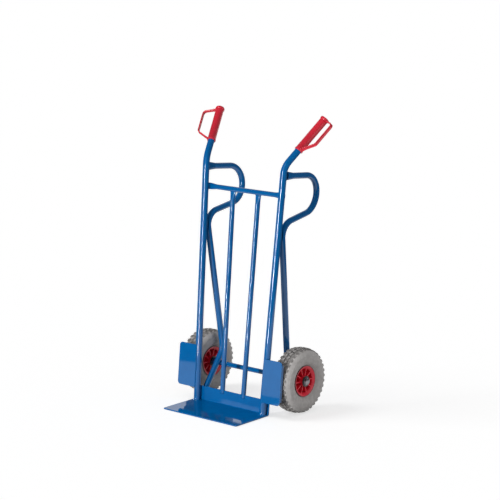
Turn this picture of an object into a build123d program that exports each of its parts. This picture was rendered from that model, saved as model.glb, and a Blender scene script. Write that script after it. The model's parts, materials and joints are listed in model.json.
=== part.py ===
from build123d import *
from math import asin, atan2, cos, hypot, radians, sin, tan
import os

os.makedirs("parts", exist_ok=True)

# Hand truck. Millimetres, +Z up, X across, +Y to the back. The origin is on the floor, under the mid-plane,
# where the plane of the two rails meets the floor.

# Fits
weld_gap = 0.1            # between parts that are welded together
running_gap = 0.05        # radial play of the bearing
side_gap = 0.3            # end play and play between loose parts

# Rails
rail_diameter = 26.9
rail_wall = 2.3
rail_lean = 5.6           # degrees, backwards
rail_fan = 1.65           # degrees, outwards on each side
handle_height = 974.0     # corner of the handle bend, above the floor
handle_bend_radius = 80.0
handle_rise = 44.8        # degrees above the horizontal
handle_splay = 23.3       # degrees outwards from straight back
handle_length = 251.0     # from the bend's corner to the end of the grip

# Toe plate
sheet_thickness = 5.0
blade_width = 383.0
blade_reach = 178.6       # in front of the rails' axes
blade_corner_radius = 8.0
flange_height = 62.0
sheet_bend_radius = 4.0   # inside the bend

# Top crossbar and inner bars
bar_diameter = 20.0
bar_wall = 2.0
bar_flat_thickness = 9.5  # pressed-flat ends
bar_flat_width = 26.5
bar_flat_length = 16.0
bar_taper_length = 30.0
crossbar_height = 862.0
inner_bar_foot = 54.0     # from the mid-plane, at the floor
inner_bar_fan = 0.74      # degrees, outwards on each side
inner_bar_slot_depth = 12.0

# Braces, drawn in a plane of their own. Places along a rail are counted from its foot.
brace_diameter = 25.0
brace_wall = 2.0
stub_place = 945.5        # where the loop starts, along the rail
stub_flat_thickness = 13.0
stub_flat_width = 35.0
stub_taper_length = 42.0
loop_depth = 220.0        # from the rail's axis to the back of the loop
loop_toe_in = 7.0         # how far the back of the loop leans to the mid-plane
loop_return_angle = 15.2  # degrees, the loop's lower run against square to the rail
loop_fill = 0.99          # share of the loop's back that its two bends take up
neck_place = 712.0        # where the brace touches the rail
neck_radius = 60.0
brace_angle = 12.4        # degrees, the long straight run against the rail
leg_foot_place = 20.0     # where the lower leg meets the flange
leg_floor_gap = 2.0       # the lower leg's end is cut level, this far above the floor
leg_bend_radius = 55.0

# Wheels and axle
tyre_diameter = 260.0
tyre_width = 85.0
tyre_wall = 6.0
tread_thickness = 10.0    # with the tread's blocks
tread_width = 62.0
shoulder_drop = 5.0       # from the crown down to the tread's shoulders
tread_depth = 4.0         # the blocks' height over the carcass
block_count = 36          # in each of the tread's four rows
block_length = 14.0       # round the tyre
block_width = 10.0        # across it
block_place = 8.3         # from the wheel's middle to the middle of an inner row
block_slant = 15.0        # degrees
block_root = 2.0          # how far a block reaches into the carcass
lug_length = 12.0         # the same for the rows on the shoulders
lug_width = 16.0
lug_place = 26.0
lug_drop = 3.6            # from the wheel's radius down to the middle of a lug
lug_tilt = 15.0           # degrees
lug_root = 5.0
wheel_spread = 241.2      # from the mid-plane to a wheel's middle
wheel_clearance = 9.33    # between a tyre and the rail beside it
axle_diameter = 20.0
axle_chamfer = 1.0
axle_back = 139.3         # behind the rails' feet
rim_diameter = 124.0      # across the rim's flanges
rim_width = 68.0
rim_wall = 4.0
rim_seat_depth = 9.0      # from the flange's edge down to the tyre's seat
rim_seat_width = 54.0
rim_web_thickness = 5.0
rib_count = 10
rib_thickness = 4.0
rib_top = 27.0            # from the wheel's middle
hub_diameter = 39.0
hub_length = 70.0
roller_diameter = 5.0
roller_length = 50.0
roller_count = 10
cage_length = 60.0
cage_wall = 2.6
screw_count = 5
screw_circle = 64.0
screw_diameter = 5.0
screw_head_diameter = 9.0
screw_head_height = 3.5
screw_boss_height = 8.0
cover_diameter = 43.0
cover_thickness = 3.0
cover_lip = 3.0           # how far a hub cover reaches into the bore
washer_diameter = 30.0
washer_thickness = 2.5
collar_diameter = 32.0
collar_length = 21.0      # keeps a wheel clear of the brace
cap_diameter = 27.0
cap_skirt = 4.0
cap_dome = 5.5
cap_wall = 1.5
tube_wall = 2.5
valve_diameter = 8.0
valve_length = 30.0
valve_cap_diameter = 9.6
valve_cap_length = 11.0
valve_cap_wall = 1.5
valve_pocket = 7          # which pocket between the ribs holds the valve

# Wheel guards
guard_thickness = 3.0
guard_low = 56.0          # along the rail
guard_high = 229.0
guard_outer = 267.0       # from the mid-plane
guard_corner_radius = 14.0
guard_edge_depth = 12.0   # folded edge, with the sheet

# Grips
grip_length = 166.0
grip_diameter = 32.5
grip_play = 0.15
grip_end_thickness = 5.0
grip_flange_diameter = 37.0
grip_flange_length = 9.0
grip_collar_diameter = 35.0
grip_collar_length = 8.0
strap_width = 14.0
strap_thickness = 4.5
strap_reach = 68.0        # from the grip's axis
strap_top = 157.0         # along the grip
strap_upper_corner = 150.0
strap_lower_corner = 48.0
strap_foot = 9.0
strap_corner_radius = 15.0
strap_twist = 11.0        # degrees, the strap turned forwards from straight out

# Values that follow from those above
rail_radius = rail_diameter / 2
bar_radius = bar_diameter / 2
brace_radius = brace_diameter / 2
axle_radius = axle_diameter / 2
wheel_radius = tyre_diameter / 2
sides = {"left": -1, "right": 1}
frame_plane = Plane(
    origin=(0, 0, 0),
    x_dir=(1, 0, 0),
    z_dir=(0, -cos(radians(rail_lean)), sin(radians(rail_lean))),
)
ladder_setback = rail_radius + weld_gap + bar_flat_thickness / 2
flange_front = rail_radius + weld_gap
flange_back = flange_front + sheet_thickness
axle_along = axle_back * sin(radians(rail_lean)) + wheel_radius * cos(radians(rail_lean))
axle_behind = axle_back * cos(radians(rail_lean)) - wheel_radius * sin(radians(rail_lean))

# Wheels: distances outwards from a wheel's middle, and radii
seat_radius = rim_diameter / 2 - rim_seat_depth
seat_half = rim_seat_width / 2
rim_half = rim_width / 2
pocket_radius = seat_radius - rim_wall
roller_circle = axle_radius + running_gap + roller_diameter / 2
bore_radius = roller_circle + roller_diameter / 2 + running_gap
half_hub = hub_length / 2
cover_end = half_hub + cover_thickness
washer_start = cover_end + side_gap
washer_end = washer_start + washer_thickness
cap_start = washer_end + weld_gap
axle_end = cap_start + cap_skirt
tyre_inner_radius = wheel_radius - tread_thickness
carcass_radius = wheel_radius - tread_depth
block_reach = (block_length * cos(radians(block_slant)) + block_width * sin(radians(block_slant))) / 2
block_top = (wheel_radius ** 2 - block_reach ** 2) ** 0.5
lug_top = wheel_radius - lug_drop
tyre_inner_half = tyre_width / 2 - tyre_wall
tube_radius = tyre_inner_half - tyre_wall
tube_circle = tyre_inner_radius - side_gap - tube_radius
bead_radius = seat_radius + side_gap
bead_half = seat_half - side_gap
bead_inner = bead_half - 2 * tyre_wall
valve_inset = bead_inner - side_gap - valve_diameter / 2
valve_edge = valve_inset - valve_diameter / 2
valve_top = tube_circle - (tube_radius ** 2 - valve_edge ** 2) ** 0.5 - weld_gap
valve_end = valve_top - valve_length


def rail_spread(along):
    # The rails stand just inside the tyres, with their clearance at the height of the axle.
    beside_tyre = wheel_spread - tyre_width / 2 - wheel_clearance - rail_radius
    return beside_tyre + (along - axle_along) * tan(radians(rail_fan))


def save(part, name):
    part.label = name
    export_step(part, f"parts/{name}.step")


def section_plane(path, across):
    # The plane square to the start of a path, with its X along the given direction.
    return Plane(origin=path @ 0, x_dir=across, z_dir=path % 0)


# Rails: the corner of the handle bend and the end of the handle, as points in the whole model's frame.
def handle_corner(side):
    along = handle_height / cos(radians(rail_lean))
    return frame_plane.from_local_coords(Vector(side * rail_spread(along), along, 0))


def handle_direction(side):
    flat = cos(radians(handle_rise))
    out = side * flat * sin(radians(handle_splay))
    back = flat * cos(radians(handle_splay))
    return Vector(out, back, sin(radians(handle_rise)))


def rail_path(side):
    foot = frame_plane.from_local_coords(Vector(side * rail_spread(0), 0, 0))
    corner = handle_corner(side)
    tip = corner + handle_direction(side) * (handle_length - grip_end_thickness - side_gap)
    with BuildLine() as path:
        FilletPolyline(foot, corner, tip, radius=handle_bend_radius)
    return path.line


def make_rail(side):
    path = rail_path(side)
    with BuildPart() as rail:
        with BuildSketch(section_plane(path, (0, 1, 0))):
            Circle(rail_radius)
            Circle(rail_radius - rail_wall, mode=Mode.SUBTRACT)
        sweep(path=path)
        split(bisect_by=Plane.XY.offset(sheet_thickness + weld_gap), keep=Keep.TOP)
        split(bisect_by=bend_clearance(), keep=Keep.TOP)
    return rail.part


def rail_envelope(side):
    # The space that a rail's straight run fills, with the gap that a weld closes.
    along = handle_height / cos(radians(rail_lean))
    foot = Vector(side * rail_spread(0), 0, 0)
    run = handle_corner(side) - foot
    with BuildPart() as envelope:
        with BuildSketch(Plane(origin=foot, z_dir=run)):
            Circle(rail_radius + weld_gap)
        extrude(amount=along)
    return envelope.part


# Toe plate: the profile of the bent sheet, drawn from the side and pulled across the width.
def side_view(behind, along):
    # A place behind the rails' plane and along it, as Y and Z.
    lean = radians(rail_lean)
    return behind * cos(lean) + along * sin(lean), along * cos(lean) - behind * sin(lean)


def height_along(behind, height):
    # How far along the rails a height is reached, at a distance behind their plane.
    lean = radians(rail_lean)
    return (height + behind * sin(lean)) / cos(lean)


def bend_clearance():
    # The sloping plane just inside the sheet's bend, where the rails' feet are cut away.
    bend_top = sheet_thickness + sheet_bend_radius
    low_y, low_z = side_view(flange_front, height_along(flange_front, sheet_thickness))
    high_y, high_z = side_view(flange_front, height_along(flange_front, bend_top))
    low_y -= sheet_bend_radius
    return Plane(
        origin=(0, low_y, low_z + weld_gap),
        x_dir=(1, 0, 0),
        z_dir=(0, low_z - high_z, high_y - low_y),
    )


def make_toe_plate():
    inner_corner = side_view(flange_front, height_along(flange_front, sheet_thickness))
    outer_corner = side_view(flange_back, height_along(flange_back, 0))
    with BuildPart() as toe_plate:
        with BuildSketch(Plane.YZ.offset(-blade_width / 2)) as profile:
            with BuildLine():
                Polyline(
                    (-blade_reach, 0),
                    outer_corner,
                    side_view(flange_back, flange_height),
                    side_view(flange_front, flange_height),
                    inner_corner,
                    (-blade_reach, sheet_thickness),
                    close=True,
                )
            make_face()
            inside = profile.vertices().sort_by_distance(inner_corner)[0]
            fillet(inside, sheet_bend_radius)
            outside = profile.vertices().sort_by_distance(outer_corner)[0]
            fillet(outside, sheet_bend_radius + sheet_thickness)
        extrude(amount=blade_width)
        front_corners = toe_plate.edges().filter_by(Axis.Z).group_by(Axis.Y)[0]
        fillet(front_corners, blade_corner_radius)
    return toe_plate.part


# Crossbar and inner bars: round tube in the middle, pressed flat where it is welded.
def flat_end(section, wide, thick):
    # Half axes of a pressed tube's outside or of its bore.
    inset = 0 if section == "outside" else bar_wall
    return wide / 2 - inset, thick / 2 - inset


def make_crossbar():
    along = crossbar_height / cos(radians(rail_lean))
    half_length = rail_spread(along) - weld_gap
    flat_start = half_length - bar_flat_length
    taper_start = flat_start - bar_taper_length
    centre = frame_plane.from_local_coords(Vector(0, along, -ladder_setback))
    across = Plane(origin=centre, x_dir=frame_plane.y_dir, z_dir=(1, 0, 0))
    with BuildPart() as crossbar:
        for section, mode in (("outside", Mode.ADD), ("bore", Mode.SUBTRACT)):
            radius = bar_radius - (0 if section == "outside" else bar_wall)
            tall, thick = flat_end(section, bar_flat_width, bar_flat_thickness)
            with BuildSketch(across):
                Circle(radius)
            extrude(amount=taper_start, both=True, mode=mode)
            for end in (-1, 1):
                with BuildSketch(across.offset(end * taper_start)):
                    Circle(radius)
                with BuildSketch(across.offset(end * flat_start)):
                    Ellipse(tall, thick)
                loft(mode=mode)
                with BuildSketch(across.offset(end * flat_start)):
                    Ellipse(tall, thick)
                extrude(amount=end * bar_flat_length, mode=mode)
    return crossbar.part


def make_inner_bar(side):
    crossbar_along = crossbar_height / cos(radians(rail_lean))
    fan = radians(inner_bar_fan)
    foot_along = flange_height - inner_bar_slot_depth
    length = (crossbar_along - foot_along) / cos(fan)
    foot_spread = side * (inner_bar_foot + foot_along * tan(fan))
    foot = frame_plane.from_local_coords(Vector(foot_spread, foot_along, -ladder_setback))
    run = frame_plane.from_local_coords(Vector(side * sin(fan), cos(fan), 0))
    base = Plane(origin=foot, x_dir=frame_plane.z_dir, z_dir=run)
    flat_start = length - bar_flat_length
    taper_start = flat_start - bar_taper_length
    crossbar_centre = frame_plane.from_local_coords(Vector(0, crossbar_along, -ladder_setback))
    slot_plane = frame_plane.offset(-flange_front + weld_gap)
    with BuildPart() as inner_bar:
        for section, mode in (("outside", Mode.ADD), ("bore", Mode.SUBTRACT)):
            radius = bar_radius - (0 if section == "outside" else bar_wall)
            wide, thick = flat_end(section, bar_flat_width, bar_flat_thickness)
            with BuildSketch(base):
                Circle(radius)
            extrude(amount=taper_start, mode=mode)
            with BuildSketch(base.offset(taper_start)):
                Circle(radius)
            with BuildSketch(base.offset(flat_start)):
                Ellipse(thick, wide)
            loft(mode=mode)
            with BuildSketch(base.offset(flat_start)):
                Ellipse(thick, wide)
            extrude(amount=bar_flat_length, mode=mode)
        with BuildSketch(Plane(origin=crossbar_centre, z_dir=(1, 0, 0))):
            Circle(bar_radius + weld_gap)
        extrude(amount=blade_width, both=True, mode=Mode.SUBTRACT)
        with BuildSketch(slot_plane):
            Rectangle(blade_width, 2 * (flange_height + weld_gap))
        extrude(amount=-(sheet_thickness + 2 * weld_gap), mode=Mode.SUBTRACT)
    return inner_bar.part


# Braces: corners of the path as distances behind the rail's axis and along the rail.
def brace_plane(side):
    # At the axle a brace stands one collar's length inside the wheel, and at the neck it is on the rail.
    at_axle = wheel_spread - cap_start - collar_length - side_gap - brace_radius
    slope = (rail_spread(neck_place) - at_axle) / (neck_place - axle_along)
    up = (frame_plane.y_dir + Vector(side * slope, 0, 0)).normalized()
    behind = -frame_plane.z_dir
    foot_spread = at_axle - axle_along * slope
    return Plane(origin=(side * foot_spread, 0, 0), x_dir=behind, z_dir=behind.cross(up))


def brace_corners():
    angle = radians(brace_angle)
    return_angle = radians(loop_return_angle)
    touch = rail_radius + weld_gap + brace_radius
    low_tangent = Vector(
        touch + neck_radius * (1 - cos(angle)),
        neck_place - neck_radius * sin(angle),
    )
    neck_turn = radians(90) - return_angle + angle
    neck_corner = low_tangent + Vector(-sin(angle), cos(angle)) * (neck_radius * tan(neck_turn / 2))
    return_rise = (loop_depth - neck_corner.X) * tan(return_angle)
    loop_low = Vector(loop_depth, neck_corner.Y + return_rise)
    loop_high = Vector(loop_depth, stub_place)
    leg_foot = Vector(flange_back + weld_gap, leg_foot_place)
    to_axle = Vector(axle_behind, axle_along) - leg_foot
    clear = axle_radius + brace_radius + weld_gap
    leg_angle = atan2(to_axle.Y, to_axle.X) + asin(clear / hypot(to_axle.X, to_axle.Y))
    leg = Vector(cos(leg_angle), sin(leg_angle))
    straight = Vector(sin(angle), -cos(angle))
    gap = low_tangent - leg_foot
    leg_run = (gap.X * straight.Y - gap.Y * straight.X) / (leg.X * straight.Y - leg.Y * straight.X)
    leg_corner = leg_foot + leg * leg_run
    return loop_high, loop_low, neck_corner, leg_corner, leg_foot


def make_brace(side):
    plane = brace_plane(side)
    loop_high, loop_low, neck_corner, leg_corner, leg_foot = brace_corners()
    loop_turn = tan(radians(45)) + tan(radians(90 - loop_return_angle) / 2)
    loop_radius = loop_fill * (loop_high.Y - loop_low.Y) / loop_turn
    stub_round = Vector(rail_radius + stub_taper_length, stub_place)
    leg_end = leg_foot + (leg_foot - leg_corner).normalized() * brace_diameter
    leaning = [(p.X, p.Y, -side * loop_toe_in * p.X / loop_depth) for p in (stub_round, loop_high, loop_low)]
    flat = [(p.X, p.Y, 0) for p in (neck_corner, leg_corner, leg_end)]
    with BuildLine(plane) as path:
        FilletPolyline(
            *leaning,
            *flat,
            radius=[loop_radius, loop_radius, neck_radius, leg_bend_radius],
        )
    start = section_plane(path.line, plane.z_dir)
    flange_plane = frame_plane.offset(-flange_back - weld_gap)
    with BuildPart() as brace:
        for radius, inset, mode in (
            (brace_radius, 0, Mode.ADD),
            (brace_radius - brace_wall, brace_wall, Mode.SUBTRACT),
        ):
            with BuildSketch(start):
                Circle(radius)
            sweep(path=path.line, mode=mode)
            with BuildSketch(start):
                Circle(radius)
            with BuildSketch(start.offset(-stub_taper_length)):
                Ellipse(stub_flat_thickness / 2 - inset, stub_flat_width / 2 - inset)
            loft(mode=mode)
            with BuildSketch(start.offset(-stub_taper_length)):
                Ellipse(stub_flat_thickness / 2 - inset, stub_flat_width / 2 - inset)
            extrude(amount=-rail_radius, mode=mode)
        add(rail_envelope(side), mode=Mode.SUBTRACT)
        split(bisect_by=flange_plane, keep=Keep.BOTTOM)
        split(bisect_by=Plane.XY.offset(leg_floor_gap), keep=Keep.TOP)
    return brace.part


# Wheel guards: a flat plate in front of the rail, with a folded outer edge.
def make_guard(side):
    middle = (guard_low + guard_high) / 2
    inner = rail_spread(middle)
    height = guard_high - guard_low
    plate_back = frame_plane.offset(rail_radius + weld_gap)
    with BuildPart() as guard:
        with BuildSketch(plate_back) as face:
            with Locations((side * (inner + guard_outer) / 2, middle)):
                Rectangle(guard_outer - inner, height)
            outer_corners = face.vertices().group_by(Axis.X)[-1 if side > 0 else 0]
            fillet(outer_corners, guard_corner_radius)
        extrude(amount=guard_thickness)
        with BuildSketch(plate_back):
            with Locations((side * (guard_outer - guard_thickness / 2), middle)):
                Rectangle(guard_thickness, height - 2 * guard_corner_radius)
        extrude(amount=-(guard_edge_depth - guard_thickness))
    return guard.part


# Grips: a sleeve over the end of the handle, closed at the top, with a strap round the knuckles.
def make_grip(side):
    along = handle_direction(side)
    base = handle_corner(side) + along * (handle_length - grip_length)
    straight_out = (Vector(side, 0, 0) - along * (side * along.X)).normalized()
    out = straight_out.rotate(Axis((0, 0, 0), along), -side * strap_twist)
    sleeve_plane = Plane(origin=base, x_dir=out, z_dir=along)
    strap_plane = Plane(origin=base, x_dir=out, z_dir=out.cross(along))
    sleeve_bore = rail_radius + grip_play
    root = (sleeve_bore + grip_diameter / 2) / 2
    with BuildLine(strap_plane) as strap:
        FilletPolyline(
            (root, strap_top),
            (strap_reach, strap_upper_corner),
            (strap_reach, strap_lower_corner),
            (root, strap_foot),
            radius=strap_corner_radius,
        )
    with BuildPart() as grip:
        with BuildSketch(sleeve_plane):
            Circle(grip_diameter / 2)
        extrude(amount=grip_length)
        with BuildSketch(sleeve_plane):
            Circle(grip_collar_diameter / 2)
        extrude(amount=grip_collar_length)
        with BuildSketch(sleeve_plane.offset(grip_length - grip_flange_length)):
            Circle(grip_flange_diameter / 2)
        extrude(amount=grip_flange_length)
        rims = grip.edges().filter_by(GeomType.CIRCLE)
        fillet(rims.sort_by(Axis(base, along))[-1], grip_end_thickness / 2)
        with BuildSketch(section_plane(strap.line, strap_plane.z_dir)):
            Rectangle(strap_width, strap_thickness)
        sweep(path=strap.line)
        with BuildSketch(sleeve_plane):
            Circle(sleeve_bore)
        extrude(amount=grip_length - grip_end_thickness, mode=Mode.SUBTRACT)
    return grip.part


# Wheels: each piece is a profile of distances outwards from the wheel's middle and from its axis.
def wheel_middle(side):
    return Vector(side * wheel_spread, axle_back, wheel_radius)


def profile_plane(side):
    # X points outwards along the axle and Y points up.
    return Plane(origin=wheel_middle(side), x_dir=(side, 0, 0), z_dir=(0, -side, 0))


def face_plane(side, outwards):
    # Square to the axle, looking outwards.
    plane = Plane(origin=wheel_middle(side), x_dir=(0, 1, 0), z_dir=(side, 0, 0))
    return plane.offset(outwards)


def wheel_axis(side):
    return Axis(wheel_middle(side), (side, 0, 0))


def make_ring(side, start, end, inner_radius, outer_radius):
    with BuildPart() as ring:
        with BuildSketch(face_plane(side, start)):
            Circle(outer_radius)
            Circle(inner_radius, mode=Mode.SUBTRACT)
        extrude(amount=end - start)
    return ring.part


def block_planes(side, place, top, tilt, slant, start):
    # Planes on the tops of one row of blocks. Start is the first block's share of a step.
    out = Vector(side, 0, 0)
    planes = []
    for step in range(block_count):
        turn = radians((step + start) * 360 / block_count)
        away = Vector(0, sin(turn), -cos(turn))
        round_tyre = Vector(0, cos(turn), sin(turn))
        facing = out * sin(radians(tilt)) + away * cos(radians(tilt))
        across = facing.cross(round_tyre)
        plane = Plane(
            origin=wheel_middle(side) + out * place + away * top,
            x_dir=round_tyre * cos(radians(slant)) + across * sin(radians(slant)),
            z_dir=facing,
        )
        planes.append(plane)
    return planes


def make_block(length, width, root):
    # Hangs down from a plane on its top.
    hanging = (Align.CENTER, Align.CENTER, Align.MAX)
    return Box(length, width, tread_depth + root, align=hanging, mode=Mode.PRIVATE)


def make_tyre(side):
    # A carcass with rounded side walls and a crown, open towards the rim, with four rows of blocks on it.
    lip_half = rim_half - rim_wall - side_gap
    lip_radius = rim_diameter / 2 + side_gap
    widest = (lip_radius + wheel_radius) / 2
    half_way_drop = shoulder_drop / 4
    shoulder = (tread_width / 2, carcass_radius - shoulder_drop)
    inner_shoulder = (tread_width / 2 - tyre_wall, tyre_inner_radius - shoulder_drop)
    with BuildPart() as tyre:
        with BuildSketch(profile_plane(side)):
            with BuildLine():
                Line((0, carcass_radius), (0, tyre_inner_radius))
                ThreePointArc(
                    (0, carcass_radius),
                    (shoulder[0] / 2, carcass_radius - half_way_drop),
                    shoulder,
                )
                ThreePointArc(shoulder, (tyre_width / 2, widest), (lip_half, lip_radius))
                Line((lip_half, lip_radius), (bead_half, bead_radius))
                Line((bead_half, bead_radius), (bead_inner, bead_radius))
                ThreePointArc((bead_inner, bead_radius), (tyre_inner_half, widest), inner_shoulder)
                ThreePointArc(
                    inner_shoulder,
                    (inner_shoulder[0] / 2, tyre_inner_radius - half_way_drop),
                    (0, tyre_inner_radius),
                )
            make_face()
            mirror(about=Plane.YZ)
        revolve(axis=wheel_axis(side))
        tread = []
        for edge, start in ((1, 0), (-1, 0.5)):
            blocks = block_planes(side, -edge * block_place, block_top, 0, edge * block_slant, start)
            with Locations(*blocks):
                tread.append(make_block(block_length, block_width, block_root))
            lugs = block_planes(side, edge * lug_place, lug_top, edge * lug_tilt, 0, start)
            with Locations(*lugs):
                tread.append(make_block(lug_length, lug_width, lug_root))
        add(tread)
    return tyre.part


def make_inner_tube(side):
    with BuildPart() as inner_tube:
        with BuildSketch(profile_plane(side)):
            with Locations((0, tube_circle)):
                Circle(tube_radius)
                Circle(tube_radius - tube_wall, mode=Mode.SUBTRACT)
        revolve(axis=wheel_axis(side))
    return inner_tube.part


def make_valve(side, outer_diameter, inner_diameter, start, end):
    # A round piece that points at the axle, in a pocket of the rim's inner half.
    middle = face_plane(side, -valve_inset)
    turn = radians((valve_pocket + 0.5) * 360 / rib_count)
    out = middle.x_dir * cos(turn) + middle.y_dir * sin(turn)
    base = Plane(origin=middle.origin + out * start, z_dir=-out)
    with BuildPart() as valve:
        with BuildSketch(base):
            Circle(outer_diameter / 2)
        extrude(amount=start - end)
        if inner_diameter:
            with BuildSketch(base):
                Circle(inner_diameter / 2)
            extrude(amount=start - end - valve_cap_wall, mode=Mode.SUBTRACT)
    return valve.part


def make_rim_half(side, facing):
    # Facing is 1 for the half that looks outwards and -1 for the half that looks to the frame.
    outline = [
        (0, bore_radius),
        (half_hub, bore_radius),
        (half_hub, hub_diameter / 2),
        (rim_web_thickness, hub_diameter / 2),
        (rim_web_thickness, pocket_radius),
        (seat_half, pocket_radius),
        (rim_half, rim_diameter / 2 - rim_wall),
        (rim_half, rim_diameter / 2),
        (rim_half - rim_wall, rim_diameter / 2),
        (seat_half, seat_radius),
        (0, seat_radius),
    ]
    rib_length = pocket_radius - hub_diameter / 2
    with BuildPart() as rim_half_part:
        with BuildSketch(profile_plane(side)):
            with BuildLine():
                Polyline(*[(facing * out, radius) for out, radius in outline], close=True)
            make_face()
        revolve(axis=wheel_axis(side))
        with BuildSketch(face_plane(side, facing * rim_web_thickness / 2)):
            with PolarLocations((pocket_radius + hub_diameter / 2) / 2, rib_count):
                Rectangle(rib_length + rim_wall, rib_thickness)
        extrude(amount=facing * (rib_top - rim_web_thickness / 2))
        if facing > 0:
            with BuildSketch(face_plane(side, rim_web_thickness / 2)):
                with PolarLocations(screw_circle / 2, screw_count, start_angle=180 / rib_count):
                    Circle(screw_head_diameter / 2)
            extrude(amount=screw_boss_height + rim_web_thickness / 2)
        with BuildSketch(face_plane(side, 0)):
            with PolarLocations(screw_circle / 2, screw_count, start_angle=180 / rib_count):
                Circle(screw_diameter / 2 + weld_gap)
        extrude(amount=facing * rim_half, mode=Mode.SUBTRACT)
        if facing < 0:
            clear = valve_diameter + 2 * side_gap
            add(make_valve(side, clear, 0, valve_top, valve_end), mode=Mode.SUBTRACT)
    return rim_half_part.part


def make_screws(side):
    head_start = -rim_web_thickness - weld_gap
    with BuildPart() as screws:
        with BuildSketch(face_plane(side, head_start)):
            with PolarLocations(screw_circle / 2, screw_count, start_angle=180 / rib_count):
                Circle(screw_head_diameter / 2)
        extrude(amount=-screw_head_height)
        with BuildSketch(face_plane(side, head_start - screw_head_height / 2)):
            with PolarLocations(screw_circle / 2, screw_count, start_angle=180 / rib_count):
                Circle(screw_diameter / 2)
        extrude(amount=2 * rim_web_thickness + screw_boss_height + screw_head_height / 2)
    return screws.part


def make_rollers(side, radius, length):
    with BuildPart() as rollers:
        with BuildSketch(face_plane(side, -length / 2)):
            with PolarLocations(roller_circle, roller_count):
                Circle(radius)
        extrude(amount=length)
    return rollers.part


def make_cage(side):
    with BuildPart() as cage:
        with BuildSketch(face_plane(side, -cage_length / 2)):
            Circle(roller_circle + cage_wall / 2)
            Circle(roller_circle - cage_wall / 2, mode=Mode.SUBTRACT)
        extrude(amount=cage_length)
        add(
            make_rollers(side, roller_diameter / 2 + side_gap, roller_length + 2 * side_gap),
            mode=Mode.SUBTRACT,
        )
    return cage.part


def make_hub_cover(side, facing):
    with BuildPart() as cover:
        with BuildSketch(face_plane(side, facing * half_hub)):
            Circle(cover_diameter / 2)
            Circle(axle_radius + side_gap, mode=Mode.SUBTRACT)
        extrude(amount=facing * cover_thickness)
        with BuildSketch(face_plane(side, facing * half_hub)):
            Circle(bore_radius - weld_gap)
            Circle(axle_radius + side_gap, mode=Mode.SUBTRACT)
        extrude(amount=-facing * cover_lip)
    return cover.part


# The axle and what sits on it.
def make_axle():
    half_length = wheel_spread + axle_end - side_gap
    with BuildPart() as axle:
        with BuildSketch(Plane.YZ.offset(-half_length)):
            with Locations((axle_back, wheel_radius)):
                Circle(axle_radius)
        extrude(amount=2 * half_length)
        chamfer(axle.edges().filter_by(GeomType.CIRCLE), axle_chamfer)
    return axle.part


def make_collar(side):
    inner_end = -cap_start - collar_length
    return make_ring(side, inner_end, -cap_start, axle_radius + weld_gap, collar_diameter / 2)


def make_washer(side, start, end):
    return make_ring(side, start, end, axle_radius + weld_gap, washer_diameter / 2)


def make_cap(side):
    # A thin dome, part of a sphere, on a base that grips the axle.
    radius = cap_diameter / 2
    dome_radius = (radius ** 2 + cap_dome ** 2) / (2 * cap_dome)
    dome_centre = cap_start + cap_skirt + cap_dome - dome_radius
    with BuildPart() as cap:
        for inset, mode in ((0, Mode.ADD), (cap_wall, Mode.SUBTRACT)):
            edge, half_way = [
                (dome_centre + ((dome_radius - inset) ** 2 - reach ** 2) ** 0.5, reach)
                for reach in (radius - inset, (radius - inset) / 2)
            ]
            top = (dome_centre + dome_radius - inset, 0)
            with BuildSketch(profile_plane(side)):
                with BuildLine():
                    Polyline(top, (cap_start + inset, 0), (cap_start + inset, radius - inset), edge)
                    ThreePointArc(edge, half_way, top)
                make_face()
            revolve(axis=wheel_axis(side), mode=mode)
        with BuildSketch(face_plane(side, cap_start)):
            Circle(axle_radius + weld_gap)
        extrude(amount=cap_wall, mode=Mode.SUBTRACT)
    return cap.part


save(make_toe_plate(), "toe_plate")
save(make_crossbar(), "top_crossbar")
save(make_axle(), "axle")
for name, side in sides.items():
    save(make_rail(side), f"{name}_rail")
    save(make_brace(side), f"{name}_brace")
    save(make_inner_bar(side), f"{name}_inner_bar")
    save(make_guard(side), f"{name}_wheel_guard")
    save(make_grip(side), f"{name}_grip")
    save(make_collar(side), f"{name}_axle_collar")
    save(make_washer(side, -washer_end, -washer_start), f"{name}_inner_washer")
    save(make_washer(side, washer_start, washer_end), f"{name}_outer_washer")
    save(make_cap(side), f"{name}_axle_cap")
    save(make_tyre(side), f"{name}_tyre")
    save(make_inner_tube(side), f"{name}_inner_tube")
    save(make_valve(side, valve_diameter, 0, valve_top, valve_end), f"{name}_valve_stem")
    save(
        make_valve(
            side,
            valve_cap_diameter,
            valve_diameter + 2 * weld_gap,
            valve_end + valve_cap_length - valve_cap_wall - weld_gap,
            valve_end - valve_cap_wall - weld_gap,
        ),
        f"{name}_valve_cap",
    )
    save(make_rim_half(side, 1), f"{name}_rim_outer_half")
    save(make_rim_half(side, -1), f"{name}_rim_inner_half")
    save(make_screws(side), f"{name}_rim_screws")
    save(make_cage(side), f"{name}_bearing_cage")
    save(make_rollers(side, roller_diameter / 2, roller_length), f"{name}_bearing_rollers")
    save(make_hub_cover(side, 1), f"{name}_outer_hub_cover")
    save(make_hub_cover(side, -1), f"{name}_inner_hub_cover")
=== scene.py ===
import bmesh
import bpy
import json
import math
from mathutils import Matrix, Vector

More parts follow.
